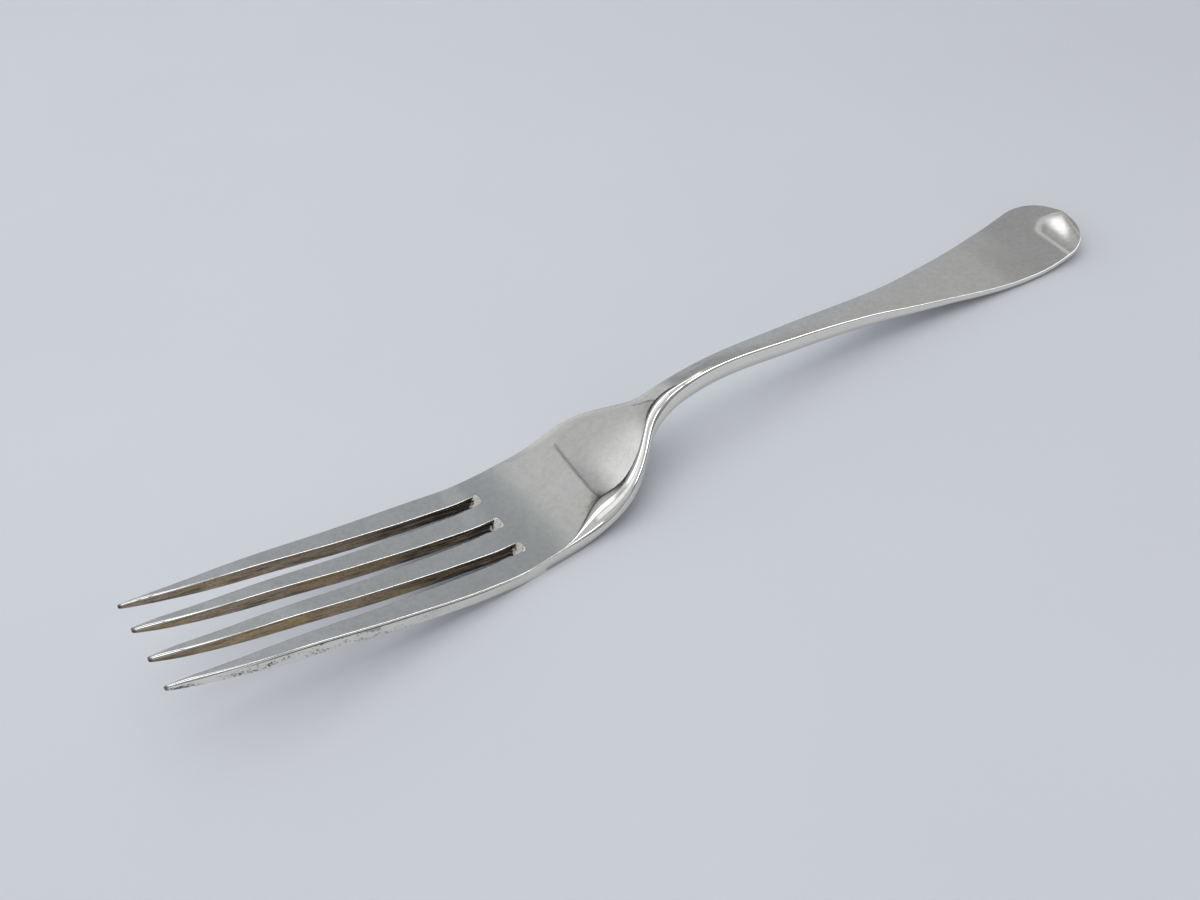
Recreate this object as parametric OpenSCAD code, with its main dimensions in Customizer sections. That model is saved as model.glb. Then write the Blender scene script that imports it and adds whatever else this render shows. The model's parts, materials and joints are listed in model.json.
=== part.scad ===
/* [Overall] */
// Length from the tine tips to the end of the handle
fork_length = 204; // [180:1:220]
// Width across the outer tines where the head is widest
head_width = 24.4; // [22:0.1:28]

/* [Tines] */
// Length of the slots, from the tips to their rounded ends
tine_length = 59.5; // [48:0.5:68]
// Width across the outer tines at their tips
tip_spread = 18.6; // [17:0.1:21]
// Height of the underside of the tips over the table
tip_rise = 15.2; // [10:0.1:20]
// Width of a slot at the tips
slot_tip_width = 4.6; // [4:0.05:5]
// Width of a slot just before its rounded end
slot_root_width = 2.04; // [1.4:0.02:2.6]
// Solid metal of the tines behind the slot ends
root_land = 1; // [0.5:0.1:2]
// Thickness of a tine just behind its tip
tip_thickness = 1.5; // [1.2:0.05:2]
// Thickness of the tines where they leave the palm
root_thickness = 2.4; // [2:0.05:3]
// Length of the narrowed tip of a tine
tip_length = 5; // [3:0.25:8]
// Rounding of the tine edges
tine_edge = 0.3; // [0.15:0.01:0.5]

/* [Palm] */
// Length of the palm, from the roots of the tines to the neck
palm_length = 29.5; // [26:0.5:36]
// Thickness of the palm at its heel
heel_thickness = 4.85; // [4:0.05:6]
// Width of the rolled edge round the shoulders
rim_round_width = 4.5; // [2:0.1:5.5]
// Height of the rolled edge round the shoulders
rim_round_height = 1.3; // [0.4:0.05:1.6]
// Width of the rounding under the heel
heel_round_width = 2.4; // [1.2:0.1:3.3]
// Height of the rounding under the heel
heel_round_height = 2; // [1:0.1:2.8]

/* [Neck] */
// Length of the neck, from the palm to the narrowest place
neck_length = 14; // [10:0.5:20]
// Width where the palm runs into the neck
neck_width = 6.9; // [5:0.1:9]
// Thickness where the palm runs into the neck
neck_thickness = 4.75; // [4:0.05:5.5]
// Height of the underside there over the table
neck_rise = 6.7; // [5:0.1:9]
// Width of the rounding over the neck there
neck_round_width = 2.2; // [0.8:0.1:3]
// Height of the rounding over the neck there
neck_round_height = 1.3; // [0.6:0.05:1.6]

/* [Stem] */
// Width of the stem where it is narrowest
stem_width = 3.6; // [3:0.05:5]
// Thickness of the stem where it is narrowest
stem_thickness = 3.95; // [3.2:0.05:4.8]
// Height of the underside of the stem over the table at its crest
stem_rise = 10.15; // [9:0.05:13]
// Rounding of the upper edges of the stem
stem_edge = 0.55; // [0.3:0.05:0.9]
// Rounding of the lower edges of the stem
stem_round = 0.9; // [0.5:0.05:1.2]

/* [Handle end] */
// Length of the broad end of the handle
handle_length = 41; // [32:0.5:50]
// Width of the handle where it is widest
handle_width = 18.6; // [15:0.1:22]
// Width where the stem runs into the broad end
blade_width = 11.2; // [8:0.1:13]
// Thickness where the stem runs into the broad end
blade_thickness = 2.2; // [1.9:0.05:3]
// Height of the underside there over the table
blade_rise = 2.05; // [1:0.05:4]
// Thickness of the handle at its tip
end_thickness = 1.7; // [1.5:0.05:2.2]
// Height of the underside of the upturned tip over the table
end_rise = 3.3; // [1:0.1:6]
// Length over which the outline rounds in at the tip
end_round = 7.8; // [5:0.1:12]
// Rounding of the upper edges of the handle
end_edge = 0.3; // [0.2:0.05:0.6]
// Width of the rounding under the edges of the handle
under_round_width = 3.2; // [1:0.1:4]
// Height of the rounding under the edges of the handle
under_round_height = 0.75; // [0.4:0.05:0.85]

/* [Hidden] */
// Width of the blunt middle of the rounded handle tip
end_flat = 2.4;
// Rounding left on the slot edges where they run into the palm
seam_edge = 0.06;
// Two cross sections are never closer than this
least_step = 0.12;
// Share of its full width and thickness that a tine keeps at the very tip
tip_share = 0.36;
// Where the outer slots lie between the middle and the edge of the head
slot_tip_share = 0.655;
slot_root_share = 0.56;
// How square the slot ends are, from 2 for a half circle
slot_end_power = 3;
// Most of a wall that a rounding may take, and most of the half-width that a rolled edge may take
edge_limit_share = 0.42;
roll_limit_share = 0.9;

// Places of the cross sections along each stretch, as shares of its length
tine_at_shares = [0, 0.17, 0.37, 0.59, 0.84, 0.975];
palm_at_shares = [0, 0.15, 0.32, 0.475, 0.6, 0.73, 0.88];
neck_at_shares = [0, 0.43];
stem_at_shares = [0, 0.34, 0.64, 0.86];
handle_at_shares = [0, 0.27, 0.46, 0.61, 0.78, 1];

// Half-widths there, as shares of the way from one named width to the other
tine_width_shares = [0, 0.28, 0.53, 0.78, 1, 0.97];
palm_width_shares = [0.97, 0.965, 0.966, 0.952, 0.889, 0.7, 0.33];
neck_width_shares = [0, 0.78];
stem_width_shares = [0, 0.15, 0.356, 0.7];
handle_width_shares = [0, 0.473, 0.757, 0.93, 1, 1];

// Heights of the underside there
tine_rise_shares = [1, 0.763, 0.54, 0.296, 0.082, 0];
palm_rise_shares = [0, 0, 0, 0.114, 0.258, 0.454, 0.745];
neck_rise_shares = [0, 0.77];
stem_rise_shares = [1, 0.722, 0.407, 0.142];
blade_rise_shares = [1, 0.29, 0, 0, 0, 0];
end_rise_shares = [0, 0, 0, 0, 0.27, 1];

// Thicknesses there
tine_thick_shares = [0, 0.72, 1.22, 1.33, 1.06, 1];
palm_thick_shares = [0, 0.07, 0.367, 0.574, 0.776, 0.947, 1];
neck_thick_shares = [0, 0.62];
stem_thick_shares = [0, 0.17, 0.51, 0.86];
handle_thick_shares = [0, 0.5, 0.7, 0.8, 0.9, 1];

// How far the edges have changed there from one named rounding to the next
palm_rim_width_shares = [0, 0.02, 0.5, 1, 0.74, 0.55, 0.43];
palm_rim_height_shares = [0, 0.05, 0.56, 0.92, 0.65, 0.5, 0.75];
palm_edge_shares = [0, 0.15, 0.5, 0.9, 1, 1, 1];
neck_edge_shares = [0, 0.6];
stem_edge_shares = [0, 0.2, 0.5, 0.8];

// Cross sections added between two places of each stretch
tine_steps = 3;
palm_steps = 3;
neck_steps = 5;
stem_steps = 5;
handle_steps = 3;
// Cross sections of a tine tip, a slot end and the rounded handle tip
tip_steps = 5;
slot_steps = 5;
end_steps = 8;
// Straight pieces of a rounded edge
tine_arc_steps = 3;
broad_arc_steps = 5;

palm_start = tine_length + root_land;
neck_start = palm_start + palm_length;
stem_start = neck_start + neck_length;
handle_start = fork_length - handle_length;
stem_length = handle_start - stem_start;
head_half = head_width / 2;
tip_half = tip_spread / 2;
neck_half = neck_width / 2;
stem_half = stem_width / 2;
blade_half = blade_width / 2;
handle_half = handle_width / 2;

function mix(a, b, share) = a + (b - a) * share;

// Each row is a place, half-width, underside, thickness, width and height of the upper
// rounding, and width and height of the lower one
tine_rows = [for (i = [0 : len(tine_at_shares) - 1]) [
    tine_length * tine_at_shares[i],
    mix(tip_half, head_half, tine_width_shares[i]),
    tip_rise * tine_rise_shares[i],
    mix(tip_thickness, root_thickness, tine_thick_shares[i]),
    tine_edge, tine_edge, tine_edge, tine_edge
]];
palm_rows = [for (i = [0 : len(palm_at_shares) - 1]) [
    palm_start + palm_length * palm_at_shares[i],
    mix(neck_half, head_half, palm_width_shares[i]),
    neck_rise * palm_rise_shares[i],
    mix(root_thickness, heel_thickness, palm_thick_shares[i]),
    mix(tine_edge, rim_round_width, palm_rim_width_shares[i]),
    mix(tine_edge, rim_round_height, palm_rim_height_shares[i]),
    mix(tine_edge, heel_round_width, palm_edge_shares[i]),
    mix(tine_edge, heel_round_height, palm_edge_shares[i])
]];
neck_rows = [for (i = [0 : len(neck_at_shares) - 1]) [
    neck_start + neck_length * neck_at_shares[i],
    mix(neck_half, stem_half, neck_width_shares[i]),
    mix(neck_rise, stem_rise, neck_rise_shares[i]),
    mix(neck_thickness, stem_thickness, neck_thick_shares[i]),
    mix(neck_round_width, stem_edge, neck_edge_shares[i]),
    mix(neck_round_height, stem_edge, neck_edge_shares[i]),
    mix(heel_round_width, stem_round, neck_edge_shares[i]),
    mix(heel_round_height, stem_round, neck_edge_shares[i])
]];
stem_rows = [for (i = [0 : len(stem_at_shares) - 1]) [
    stem_start + stem_length * stem_at_shares[i],
    mix(stem_half, blade_half, stem_width_shares[i]),
    mix(blade_rise, stem_rise, stem_rise_shares[i]),
    mix(stem_thickness, blade_thickness, stem_thick_shares[i]),
    mix(stem_edge, end_edge, stem_edge_shares[i]),
    mix(stem_edge, end_edge, stem_edge_shares[i]),
    mix(stem_round, under_round_width, stem_edge_shares[i]),
    mix(stem_round, under_round_height, stem_edge_shares[i])
]];
handle_rows = [for (i = [0 : len(handle_at_shares) - 1]) [
    handle_start + handle_length * handle_at_shares[i],
    mix(blade_half, handle_half, handle_width_shares[i]),
    blade_rise * blade_rise_shares[i] + end_rise * end_rise_shares[i],
    mix(blade_thickness, end_thickness, handle_thick_shares[i]),
    end_edge, end_edge, under_round_width, under_round_height
]];
rows = concat(tine_rows, palm_rows, neck_rows, stem_rows, handle_rows);
row_count = len(rows);

// A smooth curve through one column of the rows that never overshoots them
function rise_at(col, i) = (rows[i + 1][col] - rows[i][col]) / (rows[i + 1][0] - rows[i][0]);
function slope_at(col, i) =
    i == 0 ? rise_at(col, 0)
    : i == row_count - 1 ? rise_at(col, i - 1)
    : let (a = rise_at(col, i - 1), b = rise_at(col, i)) a * b <= 0 ? 0 : 2 * a * b / (a + b);
function row_at(x, i = 0) = i >= row_count - 2 || x <= rows[i + 1][0] ? i : row_at(x, i + 1);
function value(col, x) =
    let (
        i = row_at(x),
        step = rows[i + 1][0] - rows[i][0],
        s = (x - rows[i][0]) / step,
        r = 1 - s
    )
    rows[i][col] * (1 + 2 * s) * r * r
    + rows[i + 1][col] * (1 + 2 * r) * s * s
    + step * s * r * (slope_at(col, i) * r - slope_at(col, i + 1) * s);

// Inset of a quarter circle that starts where the way in is zero
function quarter(way, radius) =
    radius * (1 - sqrt(max(0, 1 - pow(max(0, min(1, way / radius)), 2))));

// Outline and underside, with the tip of the handle rounded
end_reach_share = sqrt(1 - pow(end_flat / handle_width, 2));
function half_width(x) =
    let (in_share = max(0, (x - fork_length + end_round) / end_round) * end_reach_share)
    value(1, x) * sqrt(1 - in_share * in_share);
function tip_inset(x) = quarter(x - fork_length + end_edge, end_edge);
function under(x) = value(2, x) + tip_inset(x);
function upper(x) = value(2, x) + value(3, x) - tip_inset(x);

// One cross section from side a to side b, as points anticlockwise seen from the handle, with
// the width and height of its upper and lower roundings
function arc(start, y, z, round, steps) = [for (k = [0 : steps])
    let (a = start + 90 * k / steps) [y + round[0] * cos(a), z + round[1] * sin(a)]];
function section(ya, yb, low, top, upper_a, upper_b, lower_a, lower_b, steps) = concat(
    arc(-90, yb - lower_b[0], low + lower_b[1], lower_b, steps),
    arc(0, yb - upper_b[0], top - upper_b[1], upper_b, steps),
    arc(90, ya + upper_a[0], top - upper_a[1], upper_a, steps),
    arc(180, ya + lower_a[0], low + lower_a[1], lower_a, steps)
);

// A section over the full width of the fork
function broad(x) =
    let (
        w = half_width(x),
        low = under(x),
        top = upper(x),
        thick = top - low,
        upper_round = [min(value(4, x), w * roll_limit_share), min(value(5, x), thick * edge_limit_share)],
        lower_round = [
            min(value(6, x), w * (1 - edge_limit_share)), min(value(7, x), thick * (1 - edge_limit_share))]
    )
    section(-w, w, low, top, upper_round, upper_round, lower_round, lower_round, broad_arc_steps);

// Slots: their middle line and half-width, closed by a rounded end
function slot_middle(x) =
    mix(tip_half * slot_tip_share, value(1, tine_length) * slot_root_share, x / tine_length);
function slot_half(x) =
    let (
        reach = slot_root_width / 2,
        way = min(1, max(0, (x - tine_length + reach) / reach))
    )
    mix(slot_tip_width, slot_root_width, x / tine_length) / 2
    * pow(1 - pow(way, slot_end_power), 1 / slot_end_power);

// A tine between two edges, drawn in to a blunt tip
function tip_narrow(x) = mix(tip_share, 1, sqrt(1 - pow(1 - min(1, x / tip_length), 2)));
function slot_edge(x) =
    mix(seam_edge, tine_edge, max(0, min(1, (tine_length - x) / slot_root_width)));
function tine_section(x, ya, yb, edge_a, edge_b) =
    let (
        f = tip_narrow(x),
        yc = (ya + yb) / 2,
        zc = (under(x) + upper(x)) / 2,
        hy = (yb - ya) / 2 * f,
        hz = (upper(x) - under(x)) / 2 * f,
        most = 2 * edge_limit_share * min(hy, hz),
        a = min(edge_a, most) * [1, 1],
        b = min(edge_b, most) * [1, 1]
    )
    section(yc - hy, yc + hy, zc - hz, zc + hz, a, b, a, b, tine_arc_steps);
function outer_section(x) =
    tine_section(x, slot_middle(x) + slot_half(x), half_width(x), slot_edge(x), tine_edge);
function inner_section(x) =
    tine_section(x, slot_half(x), slot_middle(x) - slot_half(x), slot_edge(x), slot_edge(x));

// Places of the cross sections of each node
function between(from, to, steps) = [for (i = [0 : row_count - 2]) for (k = [0 : steps - 1])
    let (x = mix(rows[i][0], rows[i + 1][0], k / steps))
    if (x > from + least_step && x < to - least_step) x];
tip_places = [for (k = [0 : tip_steps]) tip_length * pow(k / tip_steps, 2)];
slot_places = [for (k = [0 : slot_steps])
    tine_length - slot_root_width / 2 * (1 - sin(90 * k / slot_steps))];
tine_places = concat(
    tip_places, between(tip_length, slot_places[0], tine_steps), slot_places, [palm_start]);
end_places = [for (k = [0 : end_steps])
    fork_length - end_round * pow(1 - k / end_steps, 2)];
handle_places = concat(
    [handle_start], between(handle_start, end_places[0], handle_steps), end_places);
function plain_places(from, to, steps) = concat([from], between(from, to, steps), [to]);

// A closed skin over a row of cross sections
module skin(places, sections) {
    n = len(sections[0]);
    last = len(places) - 1;
    points = [for (i = [0 : last]) for (p = sections[i]) [places[i] - fork_length / 2, p[0], p[1]]];
    sides = [for (i = [0 : last - 1]) for (j = [0 : n - 1])
        let (a = i * n + j, b = i * n + (j + 1) % n)
        each [[a, a + n, b], [b, a + n, b + n]]];
    caps = [[for (j = [0 : n - 1]) j], [for (j = [0 : n - 1]) last * n + n - 1 - j]];
    polyhedron(points = points, faces = concat(sides, caps), convexity = 6);
}

module broad_skin(places) {
    skin(places, [for (x = places) broad(x)]);
}

module outer_tine() {
    skin(tine_places, [for (x = tine_places) outer_section(x)]);
}

module inner_tine() {
    skin(tine_places, [for (x = tine_places) inner_section(x)]);
}

module tine_1() {
    color("gainsboro") outer_tine();
}

module tine_2() {
    color("lightsteelblue") inner_tine();
}

module tine_3() {
    color("gainsboro") mirror([0, 1, 0]) inner_tine();
}

module tine_4() {
    color("lightsteelblue") mirror([0, 1, 0]) outer_tine();
}

module palm() {
    color("silver") broad_skin(plain_places(palm_start, neck_start, palm_steps));
}

module neck() {
    color("lightgray") broad_skin(plain_places(neck_start, stem_start, neck_steps));
}

module stem() {
    color("silver") broad_skin(plain_places(stem_start, handle_start, stem_steps));
}

module handle_end() {
    color("lightgray") broad_skin(handle_places);
}

tine_1();
tine_2();
tine_3();
tine_4();
palm();
neck();
stem();
handle_end();
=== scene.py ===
import json
import math
from typing import NamedTuple

import bpy
import numpy as np
from bpy.props import FloatProperty, FloatVectorProperty, PointerProperty
from mathutils import Matrix, Vector

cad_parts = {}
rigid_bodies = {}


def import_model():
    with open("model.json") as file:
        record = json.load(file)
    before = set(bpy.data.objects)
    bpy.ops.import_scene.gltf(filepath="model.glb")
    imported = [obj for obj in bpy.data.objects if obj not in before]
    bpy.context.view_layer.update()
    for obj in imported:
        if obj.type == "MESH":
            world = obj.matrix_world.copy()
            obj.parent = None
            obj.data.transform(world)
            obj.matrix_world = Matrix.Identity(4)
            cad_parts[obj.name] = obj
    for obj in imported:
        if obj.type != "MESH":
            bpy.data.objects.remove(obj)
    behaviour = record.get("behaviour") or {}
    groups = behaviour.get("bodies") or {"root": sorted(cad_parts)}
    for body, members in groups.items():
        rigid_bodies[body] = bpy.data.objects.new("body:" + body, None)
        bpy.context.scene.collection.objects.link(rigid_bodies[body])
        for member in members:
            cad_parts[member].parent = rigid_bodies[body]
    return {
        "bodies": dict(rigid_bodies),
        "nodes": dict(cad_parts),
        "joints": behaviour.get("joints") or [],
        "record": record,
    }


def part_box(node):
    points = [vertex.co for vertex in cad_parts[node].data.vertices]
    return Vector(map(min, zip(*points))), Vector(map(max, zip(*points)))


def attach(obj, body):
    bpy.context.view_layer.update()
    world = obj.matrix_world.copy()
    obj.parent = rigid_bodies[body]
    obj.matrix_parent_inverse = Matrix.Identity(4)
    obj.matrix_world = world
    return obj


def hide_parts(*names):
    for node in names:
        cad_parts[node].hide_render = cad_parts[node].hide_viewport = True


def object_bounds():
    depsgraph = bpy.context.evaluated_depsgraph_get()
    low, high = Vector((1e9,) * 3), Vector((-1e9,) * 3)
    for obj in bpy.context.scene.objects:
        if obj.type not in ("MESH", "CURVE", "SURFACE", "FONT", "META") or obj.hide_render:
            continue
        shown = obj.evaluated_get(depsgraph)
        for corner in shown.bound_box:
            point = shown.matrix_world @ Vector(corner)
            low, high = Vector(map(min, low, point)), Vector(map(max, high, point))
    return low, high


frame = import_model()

bl_info = {
    "name": "Silver Dinner Fork",
    "version": (1, 0, 0),
    "blender": (4, 5, 0),
    "location": "View3D > Sidebar > Fork",
    "description": "Builds a four-tined silver dinner fork and the studio it is shown in",
    "category": "Object",
}

CAD_BOX = [list(corner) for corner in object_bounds()]
BODY = "root"

# Seams between the pieces and the overall size, all from the frame
TIP_X = CAD_BOX[0][0]
END_X = CAD_BOX[1][0]
PALM_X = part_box("palm")[0][0]
NECK_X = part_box("neck")[0][0]
STEM_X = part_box("stem")[0][0]
HANDLE_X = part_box("handle_end")[0][0]
HEAD_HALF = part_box("tine_1")[1][1]
HANDLE_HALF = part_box("handle_end")[1][1]
# Length of the land between the slot ends and the palm
ROOT_LAND = 0.001
SLOT_X = PALM_X - ROOT_LAND

# Places of the cross sections along each stretch, as shares of its length
TINE_AT_SHARES = (0, 0.17, 0.37, 0.59, 0.84, 0.975)
PALM_AT_SHARES = (0, 0.15, 0.32, 0.475, 0.6, 0.73, 0.88)
NECK_AT_SHARES = (0, 0.43)
STEM_AT_SHARES = (0, 0.34, 0.64, 0.86)
HANDLE_AT_SHARES = (0, 0.27, 0.46, 0.61, 0.78, 1)

# Half-widths there, as shares of the way from one named width to the next
TINE_WIDTH_SHARES = (0, 0.28, 0.53, 0.78, 1, 0.97)
PALM_WIDTH_SHARES = (0.97, 0.965, 0.966, 0.952, 0.889, 0.7, 0.33)
NECK_WIDTH_SHARES = (0, 0.78)
STEM_WIDTH_SHARES = (0, 0.15, 0.356, 0.7)
HANDLE_WIDTH_SHARES = (0, 0.473, 0.757, 0.93, 1, 1)

# Heights of the underside there
TINE_RISE_SHARES = (1, 0.763, 0.54, 0.296, 0.082, 0)
PALM_RISE_SHARES = (0, 0, 0, 0.114, 0.258, 0.454, 0.745)
NECK_RISE_SHARES = (0, 0.77)
STEM_RISE_SHARES = (1, 0.722, 0.407, 0.142)
BLADE_RISE_SHARES = (1, 0.29, 0, 0, 0, 0)
END_RISE_SHARES = (0, 0, 0, 0, 0.27, 1)

# Thicknesses there
TINE_THICK_SHARES = (0, 0.72, 1.22, 1.33, 1.06, 1)
PALM_THICK_SHARES = (0, 0.07, 0.367, 0.574, 0.776, 0.947, 1)
NECK_THICK_SHARES = (0, 0.62)
STEM_THICK_SHARES = (0, 0.17, 0.51, 0.86)
HANDLE_THICK_SHARES = (0, 0.5, 0.7, 0.8, 0.9, 1)

# How far the edges have changed there from one named rounding to the next
PALM_RIM_WIDTH_SHARES = (0, 0.02, 0.5, 1, 0.74, 0.55, 0.43)
PALM_RIM_HEIGHT_SHARES = (0, 0.05, 0.56, 0.92, 0.65, 0.5, 0.75)
PALM_EDGE_SHARES = (0, 0.15, 0.5, 0.9, 1, 1, 1)
NECK_EDGE_SHARES = (0, 0.6)
STEM_EDGE_SHARES = (0, 0.2, 0.5, 0.8)

# Crown across the top there
PALM_CROWN_SHARES = (0, 0.1, 0.4, 0.9, 1, 1, 0.8)
NECK_CROWN_SHARES = (0.5, 0.5)
STEM_CROWN_SHARES = (0.3, 0.35, 0.4, 0.45)
HANDLE_CROWN_SHARES = (0.5, 0.65, 0.8, 0.95, 1, 1)

# Where the outer slots lie between the middle and the edge of the head
SLOT_TIP_SHARE = 0.655
SLOT_ROOT_SHARE = 0.56
# How square the slot ends are, from 2 for a half circle
SLOT_END_POWER = 2.6
# Share of its full width and thickness that a tine keeps at its very tip
TIP_SHARE = 0.36
# Share of a tine over which the rounding and the thinness of its tip fade out
TIP_REACH_SHARE = 0.25
# Most of a wall that a rounding may take
EDGE_LIMIT_SHARE = 0.48
# Most of the half-width that the rolled edge may take
ROLL_LIMIT_SHARE = 0.9
# Most of the thickness that the crown may take
CROWN_LIMIT_SHARE = 0.25

# Share of the rounding along a slot that is rubbed free of tarnish
RUBBED_SHARE = 0.6
# Share of the height of a side that is painted darker towards its foot, a painted shade
PAINTED_SHADE_SHARE = 0.5

# Cross sections to a metre of length, and points of a rounded edge, a wall, a top and a bottom
RINGS_PER_METRE = 3600
TINE_POINTS = (8, 10, 12, 10)
BROAD_POINTS = (12, 8, 64, 28)
# Places of the profile to a metre of length, and how many of its spreads the bell curve reaches
PROFILE_PER_METRE = 7200
BELL_REACH = 4


def setting(kind, **fixed):
    """A maker of properties of one kind from a name, a default and a description."""
    return lambda name, default, description: kind(
        name=name, default=default, description=description, **fixed)


length = setting(FloatProperty, min=0, precision=5, unit="LENGTH")
angle = setting(FloatProperty, subtype="ANGLE")
share = setting(FloatProperty, min=0, max=1, subtype="FACTOR")
point = setting(FloatVectorProperty, size=3, subtype="TRANSLATION", unit="LENGTH")
colour = setting(FloatVectorProperty, size=3, min=0, max=1, subtype="COLOR")


class ForkSizes(bpy.types.PropertyGroup):
    """Sizes of the fork that the frame's boxes don't give"""
    tip_spread: length("Tip spread", 0.0186, "Width across the outer tines at their tips")
    tip_rise: length("Tip rise", 0.0152, "Height of the underside of the tips")
    tip_thickness: length("Tip thickness", 0.0015, "Thickness of a tine just behind its tip")
    tip_length: length("Tip length", 0.005, "Length of the narrowed tip of a tine")
    slot_tip_width: length("Slot at the tips", 0.0046, "Width of a slot at the tips")
    slot_root_width: length("Slot at its end", 0.00204, "Width of a slot before its rounded end")
    slot_slope: length("Slot end slope", 0.0015, "How far the foot of a slot's end comes forward")
    root_thickness: length("Root thickness", 0.0024, "Thickness where the tines leave the palm")
    heel_thickness: length("Heel thickness", 0.00485, "Thickness of the palm at its heel")
    neck_width: length("Neck width", 0.0069, "Width at the start of the neck")
    neck_thickness: length("Neck thickness", 0.00475, "Thickness at the start of the neck")
    neck_rise: length("Neck rise", 0.0067, "Height of the underside of the neck")
    stem_width: length("Stem width", 0.0036, "Width of the stem where it is narrowest")
    stem_thickness: length("Stem thickness", 0.00395, "Thickness of the stem where it is narrowest")
    stem_rise: length("Stem rise", 0.01015, "Height of the underside of the stem at its crest")
    blade_width: length("Blade width", 0.0112, "Width where the broad end starts")
    blade_thickness: length("Blade thickness", 0.0022, "Thickness where the broad end starts")
    blade_rise: length("Blade rise", 0.00205, "Height of the underside where the broad end starts")
    end_thickness: length("End thickness", 0.0017, "Thickness of the handle at its tip")
    end_rise: length("End rise", 0.0033, "Height of the underside of the upturned tip")
    end_round: length("End rounding", 0.0078, "Length over which the outline rounds in at the tip")
    end_flat: length("End flat", 0.0008, "Width of the blunt middle of the handle tip")


class ForkEdges(bpy.types.PropertyGroup):
    """Roundings and crown of the fork"""
    tine: length("Tine edges", 0.00018, "Rounding of the tine edges")
    root: length("Root edges", 0.00018, "Rounding of the tine edges at the palm")
    tip: length("Tip edges", 0.0007, "Rounding of the edges of a tine near its tip")
    seam: length("Seam edges", 0.00001, "Rounding left where two tines meet behind a slot")
    rim_width: length("Rim width", 0.0045, "Width of the rolled edge round the shoulders")
    rim_height: length("Rim height", 0.0013, "Height of the rolled edge round the shoulders")
    heel_width: length("Heel rounding width", 0.0024, "Width of the rounding under the heel")
    heel_height: length("Heel rounding height", 0.002, "Height of the rounding under the heel")
    heel_crown: length("Heel crown", 0.00006, "Height of the crown across the heel")
    neck_width: length("Neck rounding width", 0.0022, "Width of the rounding over the neck")
    neck_height: length("Neck rounding height", 0.0013, "Height of the rounding over the neck")
    stem: length("Stem edges", 0.00055, "Rounding of the upper edges of the stem")
    stem_under: length("Stem lower edges", 0.0009, "Rounding of the lower edges of the stem")
    crown: length("Handle crown", 0.0003, "Height of the crown across the handle")
    end: length("Handle edges", 0.0002, "Rounding of the upper edges of the handle")
    under_width: length("Handle lower width", 0.0032, "Width of the rounding under the handle")
    under_height: length("Handle lower height", 0.00075, "Height of the rounding under the handle")
    blend: length("Blend", 0.0015, "Length over which the curves are smoothed")


class SilverFinish(bpy.types.PropertyGroup):
    """Colours and gloss of the silver"""
    cool: colour("Cool silver", (0.915, 0.92, 0.92), "Silver where it is clean")
    warm: colour("Warm silver", (0.885, 0.88, 0.85), "Silver with a breath of tarnish")
    dull: colour("Dull silver", (0.74, 0.745, 0.74), "Silver dulled by wear and scratches")
    brown: colour("Brown tarnish", (0.46, 0.36, 0.265), "Tarnish on the faces of the slots")
    gold: colour("Golden tarnish", (0.49, 0.37, 0.21), "First tarnish on the faces of the slots")
    # Besides tarnish and specks, this colour also paints the dark line under the outer tines' upper edge,
    # a painted shade
    dark: colour("Dark tarnish", (0.05, 0.04, 0.03), "Old tarnish deep in the slots")
    # Painted shade: the side faces are painted warmer and darker than the top, though they are the same
    # silver
    side: colour("Side faces", (0.83, 0.81, 0.75), "Warmer silver of the outer faces")
    # Painted shade: the lower edges and the foot of the sides are painted darker, where the table beneath
    # lies in shadow
    shadow: colour("Lower edge", (0.42, 0.41, 0.38), "Duller silver along the lower edges")
    residue: colour("Polish residue", (0.98, 0.97, 0.955), "Dried polish left in the slot ends")
    gloss: share("Gloss roughness", 0.04, "Roughness of the polished faces")
    satin: share("Satin roughness", 0.08, "Roughness where wear has dulled the polish")


class ForkStudio(bpy.types.PropertyGroup):
    """Camera, floor and light"""
    target: point("Target", (-0.02058, 0.00147, 0.005), "Point that the camera looks at")
    distance: length("Distance", 0.2156, "Distance from the camera to its target")
    azimuth: angle("Azimuth", math.radians(-34.667), "Turn of the camera round the fork")
    elevation: angle("Elevation", math.radians(44.2235), "Height of the camera over the horizon")
    roll: angle("Roll", math.radians(-2.13), "Turn of the camera about its own axis")
    lens: FloatProperty(
        name="Lens", default=36.855, min=1, unit="CAMERA", description="Focal length in millimetres")
    floor: colour("Floor", (0.825, 0.855, 0.93), "Colour of the table top")
    backdrop: colour("Backdrop", (0.55, 0.572, 0.61), "Plain background as the camera sees it")
    wall: colour("Walls", (0.46, 0.464, 0.458), "Light from the studio walls")
    cool_wall: colour("Right wall", (0.442, 0.464, 0.485), "Light from the wall on the right")
    ceiling_height: length("Ceiling height", 0.6, "Height of the ceiling over the table")
    bar_border: length("Bar border", 0.06, "Width of the soft border of a light bar")
    bar_drop: length("Bar drop", 0.002, "How far the light bars hang under the ceiling")
    lamp_place: point("Lamp", (-0.06, 0.14, 0.55), "Middle of the soft lamp over the table")
    lamp_size: length("Lamp size", 0.6, "Side of the soft lamp")
    lamp_power: FloatProperty(
        name="Lamp power", default=0.85, min=0, unit="POWER", description="Power of the soft lamp")
    seam: angle("Wall seam", math.radians(-15.3), "Direction of the seam between two walls")


def mix(a, b, way):
    """The value that lies the given share of the way from a to b."""
    return a + (b - a) * np.asarray(way, float)


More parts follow.
